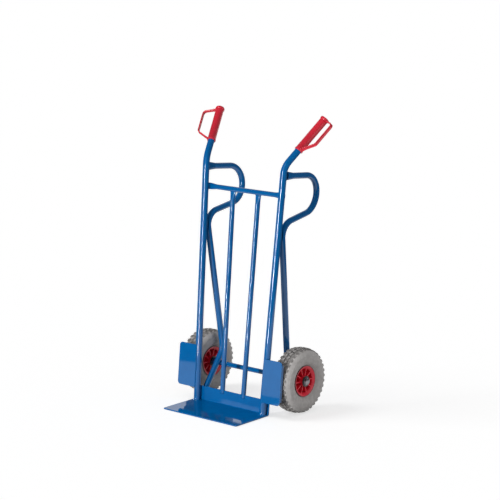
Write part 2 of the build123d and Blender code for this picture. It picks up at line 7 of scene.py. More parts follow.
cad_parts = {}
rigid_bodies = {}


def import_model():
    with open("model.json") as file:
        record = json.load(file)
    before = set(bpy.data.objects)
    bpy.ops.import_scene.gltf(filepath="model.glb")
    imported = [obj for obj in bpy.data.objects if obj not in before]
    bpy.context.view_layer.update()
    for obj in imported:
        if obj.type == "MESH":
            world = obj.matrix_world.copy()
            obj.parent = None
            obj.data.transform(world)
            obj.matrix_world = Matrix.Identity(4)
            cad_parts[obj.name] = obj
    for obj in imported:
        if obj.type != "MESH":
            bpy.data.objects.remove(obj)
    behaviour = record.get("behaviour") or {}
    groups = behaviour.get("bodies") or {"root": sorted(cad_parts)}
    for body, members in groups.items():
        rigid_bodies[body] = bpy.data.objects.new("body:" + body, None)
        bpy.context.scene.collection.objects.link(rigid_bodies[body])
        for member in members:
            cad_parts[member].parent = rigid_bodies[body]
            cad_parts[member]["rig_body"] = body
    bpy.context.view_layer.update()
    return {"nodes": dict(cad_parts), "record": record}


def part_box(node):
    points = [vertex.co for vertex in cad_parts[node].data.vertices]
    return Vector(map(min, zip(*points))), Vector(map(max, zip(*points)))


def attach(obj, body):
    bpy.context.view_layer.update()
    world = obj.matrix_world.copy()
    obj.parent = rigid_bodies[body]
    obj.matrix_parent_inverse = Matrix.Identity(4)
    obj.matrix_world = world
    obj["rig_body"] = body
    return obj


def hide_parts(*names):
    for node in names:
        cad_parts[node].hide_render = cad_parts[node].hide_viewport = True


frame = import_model()
nodes = frame["nodes"]
scene = bpy.context.scene
mm = 0.001
sides = {"left": -1, "right": 1}
print("frame loaded:", len(nodes), "nodes")


# Small helpers
def directionAt(azimuth, elevation=0):
    # degrees from the truck's front, turning to its right, and up from level
    turn, tilt = math.radians(azimuth), math.radians(elevation)
    return Vector((math.sin(turn) * math.cos(tilt), -math.cos(turn) * math.cos(tilt), math.sin(tilt)))


def newObject(name, mesh, material=None):
    piece = bpy.data.objects.new(name, mesh)
    scene.collection.objects.link(piece)
    if material:
        mesh.materials.clear()
        mesh.materials.append(material)
    return piece


def meshFrom(shape, name):
    mesh = bpy.data.meshes.new(name)
    shape.to_mesh(mesh)
    shape.free()
    return mesh


def joinRings(shape, rings):
    # faces between each ring of points and the following one; a point that repeats counts once
    for here, following in zip(rings, rings[1:]):
        for k in range(len(here)):
            j = (k + 1) % len(here)
            shape.faces.new(list(dict.fromkeys((here[k], here[j], following[j], following[k]))))


def smoothShade(mesh, angle=35):
    mesh.shade_smooth()
    mesh.set_sharp_from_angle(angle=math.radians(angle))


def plainMesh(piece):
    # the evaluated result as a plain mesh, with the modifiers taken off
    graph = bpy.context.evaluated_depsgraph_get()
    mesh = bpy.data.meshes.new_from_object(piece.evaluated_get(graph))
    piece.modifiers.clear()
    return mesh


def finishPiece(piece, body, slot, *replaced):
    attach(piece, body)
    if replaced:
        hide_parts(*replaced)


# Node helpers
def addNode(tree, kind, settings=None, inputs=None):
    node = tree.nodes.new(kind)
    for name, value in (settings or {}).items():
        setattr(node, name, value)
    for name, value in (inputs or {}).items():
        if isinstance(value, bpy.types.NodeSocket):
            tree.links.new(value, node.inputs[name])
        else:
            node.inputs[name].default_value = value
    return node


def calculated(tree, operation, first, second):
    return addNode(tree, "ShaderNodeMath", {"operation": operation}, {0: first, 1: second}).outputs[0]


def rescaled(tree, value, start, end, lowest=0, highest=1):
    # a value between start and end becomes one between lowest and highest
    return addNode(tree, "ShaderNodeMapRange", inputs={
        0: value, 1: start, 2: end, 3: lowest, 4: highest}).outputs[0]


def mixedColour(tree, amount, first, second):
    return addNode(tree, "ShaderNodeMix", {"data_type": "RGBA"}, {0: amount, 6: first, 7: second}).outputs[2]


def noise(tree, place, size, **settings):
    # soft noise with patches of a size in millimetres
    return addNode(tree, "ShaderNodeTexNoise", inputs={
        "Vector": place, "Scale": 1 / (size * mm), **settings}).outputs[0]


def geometryGroup(name, inputs, output):
    # an empty group of Geometry Nodes with its inputs and one output
    tree = bpy.data.node_groups.new(name, "GeometryNodeTree")
    for label, kind in inputs.items():
        tree.interface.new_socket(label, in_out="INPUT", socket_type="NodeSocket" + kind)
    tree.interface.new_socket(output, in_out="OUTPUT", socket_type="NodeSocketGeometry")
    return tree, addNode(tree, "NodeGroupInput").outputs


def setInputs(modifier, values):
    for item in modifier.node_group.interface.items_tree:
        if item.in_out == "INPUT" and item.name in values:
            modifier[item.identifier] = values[item.name]


# The camera stands where the photograph was taken: degrees, metres, and millimetres for lens and sensor
photoView = {
    "azimuth": 40.55, "elevation": 11.07, "distance": 7.098, "target": (0.1093, 0, 0.653), "lens": 132.4,
    "sensorWidth": 36, "farthest": 200,
}


def placeCamera():
    back = directionAt(photoView["azimuth"], photoView["elevation"])
    camera = bpy.data.objects.new("camera", bpy.data.cameras.new("camera"))
    scene.collection.objects.link(camera)
    camera.location = Vector(photoView["target"]) + back * photoView["distance"]
    camera.rotation_euler = (-back).to_track_quat("-Z", "Y").to_euler()
    camera.data.sensor_width = photoView["sensorWidth"]
    camera.data.lens = photoView["lens"]
    camera.data.clip_end = photoView["farthest"]
    scene.camera = camera


placeCamera()
print("camera placed")


# Materials
noiseRange = (0.3, 0.7)  # the middle of a noise's values, which is spread out over the whole effect


def linearColour(hexCode):
    channels = [int(hexCode[i:i + 2], 16) / 255 for i in (1, 3, 5)]
    linear = [c / 12.92 if c <= 0.04045 else ((c + 0.055) / 1.055) ** 2.4 for c in channels]
    return (*linear, 1)


def newMaterial(name):
    material = bpy.data.materials.new(name)
    material.use_nodes = True
    tree = material.node_tree
    tree.nodes.clear()
    shader = addNode(tree, "ShaderNodeBsdfPrincipled")
    addNode(tree, "ShaderNodeOutputMaterial", inputs={"Surface": shader.outputs[0]})
    place = addNode(tree, "ShaderNodeTexCoord").outputs["Object"]
    return material, tree, shader, place


def mottled(tree, shader, place, colours, patchSize, roughness, grainSize, grainDepth):
    # two shades in soft patches, a roughness that wanders, and a fine grain; sizes in millimetres
    patches = noise(tree, place, patchSize, Detail=4, Roughness=0.6)
    shade = mixedColour(
        tree, rescaled(tree, patches, *noiseRange), linearColour(colours[0]), linearColour(colours[1]))
    gloss = noise(tree, place, patchSize / 2, Detail=3)
    bump = addNode(tree, "ShaderNodeBump", inputs={
        "Strength": 1, "Distance": grainDepth * mm, "Height": noise(tree, place, grainSize, Detail=2)})
    tree.links.new(shade, shader.inputs["Base Color"])
    tree.links.new(rescaled(tree, gloss, *noiseRange, *roughness), shader.inputs["Roughness"])
    tree.links.new(bump.outputs[0], shader.inputs["Normal"])


def tinted(tree, shader, amount, colour):
    # lays a second colour over the first, by an amount from 0 to 1
    under = shader.inputs["Base Color"].links[0].from_socket
    tree.links.new(mixedColour(tree, amount, under, linearColour(colour)), shader.inputs["Base Color"])


def wheelRadius(tree, place):
    # distance from the wheels' shared axis, and the wheels' own radius
    low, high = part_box("right_tyre")
    middle = (low + high) / 2
    spot = addNode(tree, "ShaderNodeVectorMath", {"operation": "SUBTRACT"}, {
        0: place, 1: (0, middle.y, middle.z)})
    flat = addNode(tree, "ShaderNodeVectorMath", {"operation": "MULTIPLY"}, {
        0: spot.outputs[0], 1: (0, 1, 1)})
    radius = addNode(tree, "ShaderNodeVectorMath", {"operation": "LENGTH"}, {0: flat.outputs[0]})
    return radius.outputs["Value"], (high.z - low.z) / 2


def bluePowderCoat():
    # polyester powder baked on steel: deep gloss, with the faint waviness of orange peel
    material, tree, shader, place = newMaterial("bluePowderCoat")
    mottled(tree, shader, place, colours=("#005894", "#00528c"), patchSize=60, roughness=(0.03, 0.06),
            grainSize=5, grainDepth=0.004)
    shader.inputs["IOR"].default_value = 1.52
    return material


def redGripVinyl():
    # soft vinyl, injection moulded: satin, with a fine spark-eroded grain
    material, tree, shader, place = newMaterial("redGripVinyl")
    mottled(tree, shader, place, colours=("#cf2338", "#c41d31"), patchSize=25, roughness=(0.32, 0.45),
            grainSize=1.6, grainDepth=0.03)
    shader.inputs["IOR"].default_value = 1.53
    return material


rimEdgeShade = {"start": 58.5, "end": 60.5, "colour": "#5e0d18"}  # painted shade where the rim meets the tyre, by radius


def redRimPolypropylene():
    # polypropylene, injection moulded: a little waxy, with flow marks, and painted shade along the tyre's
    # edge
    material, tree, shader, place = newMaterial("redRimPolypropylene")
    mottled(tree, shader, place, colours=("#e0233a", "#d01d32"), patchSize=18, roughness=(0.3, 0.42),
            grainSize=2.5, grainDepth=0.02)
    shader.inputs["IOR"].default_value = 1.49
    radius, _ = wheelRadius(tree, place)
    # a dark red band near the rim's outer radius is painted shade for the gap at the tyre
    paintedShade = rescaled(tree, radius, rimEdgeShade["start"] * mm, rimEdgeShade["end"] * mm)
    tinted(tree, shader, paintedShade, rimEdgeShade["colour"])
    return material


# painted shade in the gaps between the blocks, by millimetres below the tread's top, and a darker grey over
# the whole tread
treadGapShade = {"start": 0.8, "floor": 3.6, "end": 9, "colour": "#6a6765", "treadBandColour": "#918e8c"}


def greyTyreRubber():
    # non-marking grey rubber, moulded: dull, with dusty patches, a darker grey tread, and painted shade in
    # the gaps between the tread blocks
    material, tree, shader, place = newMaterial("greyTyreRubber")
    mottled(tree, shader, place, colours=("#b1aeac", "#9d9a98"), patchSize=14, roughness=(0.7, 0.88),
            grainSize=2, grainDepth=0.12)
    shader.inputs["IOR"].default_value = 1.52
    radius, top = wheelRadius(tree, place)
    end, floorAt, start = [top - treadGapShade[level] * mm for level in ("end", "floor", "start")]
    treadArea = rescaled(tree, radius, end, floorAt)
    belowTops = rescaled(tree, radius, floorAt, start, lowest=1, highest=0)
    # the whole tread a darker grey
    tinted(tree, shader, treadArea, treadGapShade["treadBandColour"])
    # painted shade: the gaps and the lower sides of the blocks darken, fading out just below the tops
    tinted(tree, shader, calculated(tree, "MULTIPLY", treadArea, belowTops), treadGapShade["colour"])
    return material


def butylRubber():
    # black butyl, moulded
    material, tree, shader, place = newMaterial("butylRubber")
    mottled(tree, shader, place, colours=("#1f1f20", "#161617"), patchSize=12, roughness=(0.6, 0.75),
            grainSize=1.5, grainDepth=0.05)
    return material


def blackNylon():
    # glass-filled nylon, moulded: nearly black and satin
    material, tree, shader, place = newMaterial("blackNylon")
    mottled(tree, shader, place, colours=("#1d1e21", "#141517"), patchSize=9, roughness=(0.38, 0.5),
            grainSize=1.2, grainDepth=0.03)
    return material


def whiteNylon():
    # plain nylon, moulded
    material, tree, shader, place = newMaterial("whiteNylon")
    mottled(tree, shader, place, colours=("#e6e4dc", "#dad7cd"), patchSize=10, roughness=(0.4, 0.5),
            grainSize=1.2, grainDepth=0.02)
    return material


def zincPlate():
    # bright zinc on steel: pale, with cloudy passivation
    material, tree, shader, place = newMaterial("zincPlate")
    mottled(tree, shader, place, colours=("#c3c6ca", "#aeb2ba"), patchSize=6, roughness=(0.28, 0.42),
            grainSize=0.8, grainDepth=0.01)
    shader.inputs["Metallic"].default_value = 1
    return material


def brightCapSteel():
    # pressed steel, plated: satin and greyed by handling
    material, tree, shader, place = newMaterial("brightCapSteel")
    mottled(tree, shader, place, colours=("#8f8c90", "#7d7a7f"), patchSize=8, roughness=(0.3, 0.42),
            grainSize=1.5, grainDepth=0.02)
    shader.inputs["Metallic"].default_value = 1
    return material


finishes = {
    "blue_powder_coat": bluePowderCoat(),
    "red_grip_plastic": redGripVinyl(),
    "red_rim_plastic": redRimPolypropylene(),
    "grey_tyre": greyTyreRubber(),
    "tube_rubber": butylRubber(),
    "black_plastic": blackNylon(),
    "zinc_steel": zincPlate(),
    "bright_cap": brightCapSteel(),
    "white_nylon": whiteNylon(),
}
slotOf = {part["node"]: part["material_slot"] for part in frame["record"]["subparts"]}
for name, node in nodes.items():
    node.data.materials.clear()
    node.data.materials.append(finishes[slotOf[name]])
print("finishes:", len(finishes))


# Plates and small turned parts: copies of the solids with their sharp edges rounded, by millimetres
edgeRounding = {
    "toe_plate": 1.2, "wheel_guard": 0.8, "rim_outer_half": 0.8, "rim_inner_half": 0.8,
    "outer_hub_cover": 0.8, "inner_hub_cover": 0.8, "axle_collar": 0.8, "inner_washer": 0.4,
    "outer_washer": 0.4, "rim_screws": 0.5,
}
rounding = {"mergeDistance": 0.01, "flatAngle": 0.4, "sharpAngle": 40, "segments": 2}


def roundedCopy(node, width):
    mesh = nodes[node].data.copy()
    shape = bmesh.new()
    shape.from_mesh(mesh)
    bmesh.ops.remove_doubles(shape, verts=shape.verts, dist=rounding["mergeDistance"] * mm)
    bmesh.ops.dissolve_limit(
        shape, angle_limit=math.radians(rounding["flatAngle"]), verts=shape.verts, edges=shape.edges)
    shape.to_mesh(mesh)
    shape.free()
    smoothShade(mesh)
    piece = newObject(node + "_finished", mesh, finishes[slotOf[node]])
    bevel = piece.modifiers.new("edges", "BEVEL")
    bevel.width = width * mm
    bevel.segments = rounding["segments"]
    bevel.limit_method = "ANGLE"
    bevel.angle_limit = math.radians(rounding["sharpAngle"])
    bevel.harden_normals = True
    piece.data = plainMesh(piece)
    finishPiece(piece, nodes[node]["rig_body"], slotOf[node], node)


for ending, width in edgeRounding.items():
    for name in [n for n in nodes if n.endswith(ending)]:
        roundedCopy(name, width)
print("rounded copies made")


# Tyres: a turned carcass with side rings, and tread blocks; millimetres and degrees
tyre = {
    "treadDepth": 4.0, "crownHalf": 31.0, "crownDrop": 5.0, "lipHalf": 29.7, "lipRadius": 62.3,
    "beadHalf": 26.7, "beadRadius": 53.3, "beadInner": 14.7, "wall": 6.0, "ringRadii": (72, 79, 104),
    "ringHeight": 0.6, "ringWidth": 2.4, "turnSteps": 144, "crownSteps": 8, "wallSteps": 44, "innerSteps": 10,
    "smoothAngle": 30,
}
tread = {
    "count": 36, "slant": 15, "blockPlace": 8.3, "blockSize": (14, 10), "blockRoot": 2.0,
    "lugPlace": 26.0, "lugDrop": 3.6, "lugTilt": 15, "lugSize": (12, 16), "lugRoot": 5.0,
    "topShare": 0.86, "brokenEdge": 0.07,
}


def arcPoints(start, through, end, count):
    # points along the arc through three points, and the arc's centre and radius
    (ax, ay), (bx, by), (cx, cy) = start, through, end
    d = 2 * (ax * (by - cy) + bx * (cy - ay) + cx * (ay - by))
    a2, b2, c2 = ax * ax + ay * ay, bx * bx + by * by, cx * cx + cy * cy
    ux = (a2 * (by - cy) + b2 * (cy - ay) + c2 * (ay - by)) / d
    uy = (a2 * (cx - bx) + b2 * (ax - cx) + c2 * (bx - ax)) / d
    radius = math.hypot(ax - ux, ay - uy)
    first = math.atan2(ay - uy, ax - ux)
    middle = (math.atan2(by - uy, bx - ux) - first + math.pi) % (2 * math.pi) - math.pi
    last = (math.atan2(cy - uy, cx - ux) - first) % (2 * math.pi)
    if middle < 0:
        last -= 2 * math.pi
    turns = [first + last * i / count for i in range(count + 1)]
    return [(ux + radius * math.cos(t), uy + radius * math.sin(t)) for t in turns], (ux, uy, radius)


def wheelPoint(centre, side, out, radius, turn):
    # a place on a wheel: outwards along the axle, and turned round it from the lowest point
    return centre + Vector((side * out, radius * math.sin(turn), -radius * math.cos(turn))) * mm


def turnedMesh(name, profile, centre, side, steps):
    # a closed outline (outwards, radius) turned round the axle
    shape = bmesh.new()
    rings = []
    for k in range(steps):
        turn = 2 * math.pi * k / steps
        places = [wheelPoint(centre, side, out, radius, turn) for out, radius in profile]
        rings.append([shape.verts.new(place) for place in places])
    joinRings(shape, rings + rings[:1])
    bmesh.ops.recalc_face_normals(shape, faces=shape.faces)
    return meshFrom(shape, name)


def blockShape():
    # one tread block of unit size, hanging from its top, which is drawn in and has broken edges
    shape = bmesh.new()
    bmesh.ops.create_cube(shape, size=1)
    bmesh.ops.translate(shape, verts=shape.verts, vec=(0, 0, -0.5))
    top = [v for v in shape.verts if v.co.z > -0.5]
    bmesh.ops.scale(shape, verts=top, vec=(tread["topShare"], tread["topShare"], 1))
    edges = [e for e in shape.edges if any(v.co.z > -0.5 for v in e.verts)]
    bmesh.ops.bevel(shape, geom=edges, offset=tread["brokenEdge"], segments=2, affect="EDGES")
    return newObject("blockShape", meshFrom(shape, "blockShape"))


def treadTree():
    # sets one block on each point, square to the tyre and turned to one side or the other
    tree, given = geometryGroup("treadBlocks", {
        "Points": "Geometry", "Block": "Object", "Block Size": "Vector", "Twist": "Float",
        "Rubber": "Material"}, "Blocks")
    facing, along, hand = [
        addNode(tree, "GeometryNodeInputNamedAttribute", {"data_type": kind}, {"Name": name}).outputs[0]
        for name, kind in (("facing", "FLOAT_VECTOR"), ("along", "FLOAT_VECTOR"), ("hand", "FLOAT"))]
    upright = addNode(tree, "FunctionNodeAlignRotationToVector", {"axis": "Z"}, {"Vector": facing})
    square = addNode(tree, "FunctionNodeAlignRotationToVector", {"axis": "X", "pivot_axis": "Z"}, {
        "Rotation": upright.outputs[0], "Vector": along})
    axis = addNode(tree, "ShaderNodeCombineXYZ", inputs={
        "Z": calculated(tree, "MULTIPLY", hand, given["Twist"])})
    spin = addNode(tree, "FunctionNodeEulerToRotation", inputs={0: axis.outputs[0]})
    turned = addNode(tree, "FunctionNodeRotateRotation", {"rotation_space": "LOCAL"}, {
        0: square.outputs[0], 1: spin.outputs[0]})
    block = addNode(tree, "GeometryNodeObjectInfo", inputs={"Object": given["Block"]})
    placed = addNode(tree, "GeometryNodeInstanceOnPoints", inputs={
        "Points": given["Points"], "Instance": block.outputs["Geometry"], "Rotation": turned.outputs[0],
        "Scale": given["Block Size"]})
    real = addNode(tree, "GeometryNodeRealizeInstances", inputs={0: placed.outputs[0]})
    painted = addNode(tree, "GeometryNodeSetMaterial", inputs={
        0: real.outputs[0], "Material": given["Rubber"]})
    addNode(tree, "NodeGroupOutput", inputs={0: painted.outputs[0]})
    return tree


def blockMesh(places, size, tree, block):
    # places are (point, facing, along, hand)
    mesh = bpy.data.meshes.new("blockPlaces")
    mesh.from_pydata([p[0] for p in places], [], [])
    for index, name in ((1, "facing"), (2, "along")):
        values = mesh.attributes.new(name, "FLOAT_VECTOR", "POINT")
        values.data.foreach_set("vector", [c for p in places for c in p[index]])
    hands = mesh.attributes.new("hand", "FLOAT", "POINT")
    hands.data.foreach_set("value", [p[3] for p in places])
    carrier = newObject("blockPlaces", mesh)
    modifier = carrier.modifiers.new("blocks", "NODES")
    modifier.node_group = tree
    setInputs(modifier, {
        "Block": block, "Block Size": [s * mm for s in size], "Twist": math.radians(tread["slant"]),
        "Rubber": finishes["grey_tyre"]})
    result = plainMesh(carrier)
    bpy.data.objects.remove(carrier)
    return result


def blockRow(centre, side, place, top, tilt, hand, start):
    # tops of one row of blocks, square to the tread
    lean = math.radians(tilt)
    row = []
    for k in range(tread["count"]):
        turn = 2 * math.pi * (k + start) / tread["count"]
        along = Vector((0, math.cos(turn), math.sin(turn)))
        facing = Vector((
            side * math.sin(lean), math.cos(lean) * math.sin(turn), -math.cos(lean) * math.cos(turn)))
        row.append((wheelPoint(centre, side, place, top, turn), facing, along, hand))
    return row


def tyreOutline(half, outerRadius):
    # half of the carcass in section, from the crown down the side wall and back inside
    carcassRadius = outerRadius - tyre["treadDepth"]
    shoulder = (tyre["crownHalf"], carcassRadius - tyre["crownDrop"])
    lip = (tyre["lipHalf"], tyre["lipRadius"])
    widest = (half, (tyre["lipRadius"] + outerRadius) / 2)
    innerShoulder = (shoulder[0] - tyre["wall"], shoulder[1] - tyre["wall"])
    innerWidest = (half - tyre["wall"], widest[1])
    innerBead = (tyre["beadInner"], tyre["beadRadius"])
    halfWay = (shoulder[0] / 2, carcassRadius - tyre["crownDrop"] / 4)
    crown, _ = arcPoints((0, carcassRadius), halfWay, shoulder, tyre["crownSteps"])
    wall, wallArc = arcPoints(shoulder, widest, lip, tyre["wallSteps"])
    raised = []
    for out, radius in wall:
        lift = sum(max(0, 1 - ((radius - ring) / tyre["ringWidth"]) ** 2) for ring in tyre["ringRadii"])
        away = Vector((out - wallArc[0], radius - wallArc[1])).normalized() * (lift * tyre["ringHeight"])
        raised.append((out + away.x, radius + away.y))
    inner, _ = arcPoints(innerBead, innerWidest, innerShoulder, tyre["innerSteps"])
    outside = crown + raised[1:] + [(tyre["beadHalf"], tyre["beadRadius"])]
    return outside + inner + [(0, carcassRadius - tyre["wall"])]


def makeTyre(name, side, tree, block):
    low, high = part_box(name + "_tyre")
    centre = (low + high) / 2
    outerRadius = math.ceil((high.z - low.z) / 2 / mm)
    outline = tyreOutline((high.x - low.x) / 2 / mm - tyre["ringHeight"] / 2, outerRadius)
    profile = outline + [(-out, radius) for out, radius in reversed(outline[1:-1])]
    carcass = turnedMesh(name + "_carcass", profile, centre, side, tyre["turnSteps"])
    length, width = tread["blockSize"]
    slant = math.radians(tread["slant"])
    reach = (length * math.cos(slant) + width * math.sin(slant)) / 2
    blockTop = math.sqrt(outerRadius ** 2 - reach ** 2)
    lugTop = outerRadius - tread["lugDrop"]
    blocks, lugs = [], []
    # every other row across the tread is half a step off
    for edge, start in ((1, 0), (-1, 0.5)):
        blocks += blockRow(centre, side, -edge * tread["blockPlace"], blockTop, 0, edge, start)
        lugs += blockRow(centre, side, edge * tread["lugPlace"], lugTop, edge * tread["lugTilt"], 0, start)
    joined = bmesh.new()
    joined.from_mesh(carcass)
    for places, kind in ((blocks, "block"), (lugs, "lug")):
        size = (*tread[kind + "Size"], tyre["treadDepth"] + tread[kind + "Root"])
        joined.from_mesh(blockMesh(places, size, tree, block))
    mesh = meshFrom(joined, name + "_tyre_treaded")
    smoothShade(mesh, tyre["smoothAngle"])
    piece = newObject(name + "_tyre_treaded", mesh, finishes["grey_tyre"])
    finishPiece(piece, name + "_wheel", "grey_tyre", name + "_tyre")


block = blockShape()
treadNodes = treadTree()
for name, side in sides.items():
    makeTyre(name, side, treadNodes, block)
bpy.data.objects.remove(block)
print("tyres treaded")


# Where things are on the frame, in millimetres and degrees
truck = {
    "lean": 5.6, "railFoot": 171.8, "railFan": 1.65, "railRadius": 13.45, "handleHeight": 974,
    "handleRise": 44.8, "handleSplay": 23.3, "handleLength": 251, "bladeTop": 5, "flangeFront": 13.55,
    "flangeBack": 18.55, "flangeHeight": 62, "barRadius": 10, "barSetback": 18.3, "barFoot": 54,
    "barFan": 0.74, "crossbarHeight": 862,
}


def framePoint(x, behind, along):
    # a place across the truck, behind the plane of the rails and along it
    lean = math.radians(truck["lean"])
    y = behind * math.cos(lean) + along * math.sin(lean)
    z = along * math.cos(lean) - behind * math.sin(lean)
    return Vector((x, y, z)) * mm


def railAt(along):
    return truck["railFoot"] + along * math.tan(math.radians(truck["railFan"]))


def barAt(along):
    return truck["barFoot"] + along * math.tan(math.radians(truck["barFan"]))


def alongAt(height):
    return height / math.cos(math.radians(truck["lean"]))


# Grips: a turned sleeve with a collar and an end flange, and a grooved strap round the knuckles; millimetres
grip = {
    "length": 166, "radius": 16.25, "bore": 13.6, "endThickness": 5, "collarRadius": 17.5, "collarLength": 8,
    "flangeRadius": 18.5, "flangeStart": 157, "edge": 1.6, "recessRadius": 13.5, "recessDepth": 0.9,
    "turnSteps": 64, "smoothAngle": 40,
}
strap = {
    "width": 14, "thickness": 4.5, "groove": 0.8, "edge": 1.2, "reach": 68, "root": 15, "top": 157,
    "upperCorner": 150, "lowerCorner": 48, "foot": 9, "cornerRadius": 15, "cornerSteps": 10, "twist": 11,
    "flare": 5, "flareLength": 14, "flareShare": 0.35,
}


def filletPath(corners, radius, steps):
    # a run of straight stretches with rounded corners, in two dimensions
    path = [Vector(corners[0])]
    for before, corner, after in zip(corners, corners[1:], corners[2:]):
        corner = Vector(corner)
        inwards = (Vector(before) - corner).normalized()
        outwards = (Vector(after) - corner).normalized()
        half = inwards.angle(outwards) / 2
        centre = corner + (inwards + outwards).normalized() * (radius / math.sin(half))
        first = corner + inwards * (radius / math.tan(half)) - centre
        last = corner + outwards * (radius / math.tan(half)) - centre
        turn = first.angle_signed(last)
        for k in range(steps + 1):
            path.append(centre + Matrix.Rotation(-turn * k / steps, 2) @ first)
    return path + [Vector(corners[-1])]


def gripFrame(side):
    # where the sleeve starts, its direction, and the direction in which the strap stands off
    along = alongAt(truck["handleHeight"])
    rise, splay = math.radians(truck["handleRise"]), math.radians(truck["handleSplay"])
    axis = Vector((
        side * math.cos(rise) * math.sin(splay), math.cos(rise) * math.cos(splay), math.sin(rise)))
    base = framePoint(side * railAt(along), 0, along) + axis * (truck["handleLength"] - grip["length"]) * mm
    out = (Vector((side, 0, 0)) - axis * (side * axis.x)).normalized()
    return base, axis, Matrix.Rotation(math.radians(-side * strap["twist"]), 3, axis) @ out


def sleeveProfile():
    # (radius, along) from the bore round the outside to the middle of the end face
    e, body, bore = grip["edge"], grip["radius"], grip["bore"]
    collar, collarEnd = grip["collarRadius"], grip["collarLength"]
    flange, flangeStart, end = grip["flangeRadius"], grip["flangeStart"], grip["length"]
    boreEnd, recess, recessFloor = end - grip["endThickness"], grip["recessRadius"], end - grip["recessDepth"]
    inside = [(0, boreEnd), (bore, boreEnd), (bore, 0)]
    foot = [(collar - e, 0), (collar - e / 4, e / 4), (collar, e), (collar, collarEnd - e), (body, collarEnd)]
    head = [
        (body, flangeStart - e), (flange - e / 2, flangeStart), (flange, flangeStart + e),
        (flange, end - 2 * e), (flange - e / 2, end - e / 2), (flange - 2 * e, end)]
    return inside + foot + head + [(recess, end), (recess - e / 2, recessFloor), (0, recessFloor)]


def addSleeve(shape, base, axis, out, across):
    steps = grip["turnSteps"]
    turns = [2 * math.pi * k / steps for k in range(steps)]
    spokes = [out * math.cos(t) + across * math.sin(t) for t in turns]
    rings = []
    for radius, along in sleeveProfile():
        middle = base + axis * along * mm
        if radius == 0:
            rings.append([shape.verts.new(middle)] * steps)
        else:
            rings.append([shape.verts.new(middle + spoke * radius * mm) for spoke in spokes])
    joinRings(shape, rings)


def strapPath():
    # (standing off, along) from the sleeve's end round the knuckles to its foot
    corners = (
        (strap["root"], strap["top"]), (strap["reach"], strap["upperCorner"]),
        (strap["reach"], strap["lowerCorner"]), (strap["root"], strap["foot"]))
    path = filletPath(corners, strap["cornerRadius"], strap["cornerSteps"])
    path.insert(1, path[0].lerp(path[1], strap["flareShare"]))
    path.insert(-1, path[-1].lerp(path[-2], strap["flareShare"]))
    return path


def strapSection(wide):
    # (across, thickness): a flat band with rounded edges and a shallow groove along its outside
    half, thick, e = wide / 2, strap["thickness"] / 2, strap["edge"]
    ring = [(-half + e, thick), (-half + 2 * e, thick), (-half + 3 * e, thick - strap["groove"])]
    top = ring + [(-a, d) for a, d in reversed(ring)]
    return top + [
        (half, thick - e), (half, -thick + e), (half - e, -thick), (-half + e, -thick), (-half, -thick + e),
        (-half, thick - e)]


def addStrap(shape, base, axis, out, across):
    path = strapPath()
    bands = []
    for k, point in enumerate(path):
        ahead = (path[min(k + 1, len(path) - 1)] - path[max(k - 1, 0)]).normalized()
        away = Vector((-ahead.y, ahead.x))
        near = min((point - path[0]).length, (point - path[-1]).length)
        wide = strap["width"] + strap["flare"] * max(0, 1 - near / strap["flareLength"]) ** 2
        band = []
        for sideways, depth in strapSection(wide):
            place = point + away * depth
            spot = out * place.x + axis * place.y + across * sideways
            band.append(shape.verts.new(base + spot * mm))
        bands.append(band)
    joinRings(shape, bands)
    shape.faces.new(bands[0])
    shape.faces.new(bands[-1])


def makeGrip(name, side):
    base, axis, out = gripFrame(side)
    across = axis.cross(out)
    shape = bmesh.new()
    addSleeve(shape, base, axis, out, across)
    addStrap(shape, base, axis, out, across)
    bmesh.ops.recalc_face_normals(shape, faces=shape.faces)
    mesh = meshFrom(shape, name + "_grip_moulded")
    smoothShade(mesh, grip["smoothAngle"])
    piece = newObject(name + "_grip_moulded", mesh, finishes["red_grip_plastic"])
    finishPiece(piece, "frame", "red_grip_plastic", name + "_grip")


for name, side in sides.items():
    makeGrip(name, side)
print("grips moulded")


# Welds: rows of round beads along the seams of the frame; millimetres and degrees
weld = {"beadRadius": 2.4, "step": 2.0, "seed": 5, "unevenness": 0.2}
seam = {
    "footGap": 0.6, "footArc": (160, 380), "footSteps": 24, "flangeEdge": 6.5, "flangeInset": 0.8,
    "flangeLow": 14, "flangeTopGap": 1, "barHalf": 9.2, "barLap": 12, "barEndSize": (13.25, 4.75),
    "barEndSteps": 24, "crossbarEdges": ((-7.5, 12.6), (1.2, 14.2)), "crossbarHalf": 11,
    "stubAlong": 945.5, "stubHalf": 6.5, "stubTall": 17.5, "stubSteps": 30,
    "neckAlong": 712, "neckHalf": 18, "neckEdge": 6, "neckInset": 0.6,
    "legSpread": 160.9, "legAlong": 20, "legHalf": 12.5, "legTall": 22.9, "legLow": 6, "legArc": (-50, 230),
    "legSteps": 36, "legNormal": (-0.838, 0.546), "axleRadius": 10, "axleRing": 7, "axleSteps": 20,
    "guardMiddle": 142.5, "guardGap": 0.3, "guardStandOff": 1.2, "guardStarts": (62, 128, 195),
    "guardLength": 26,
}


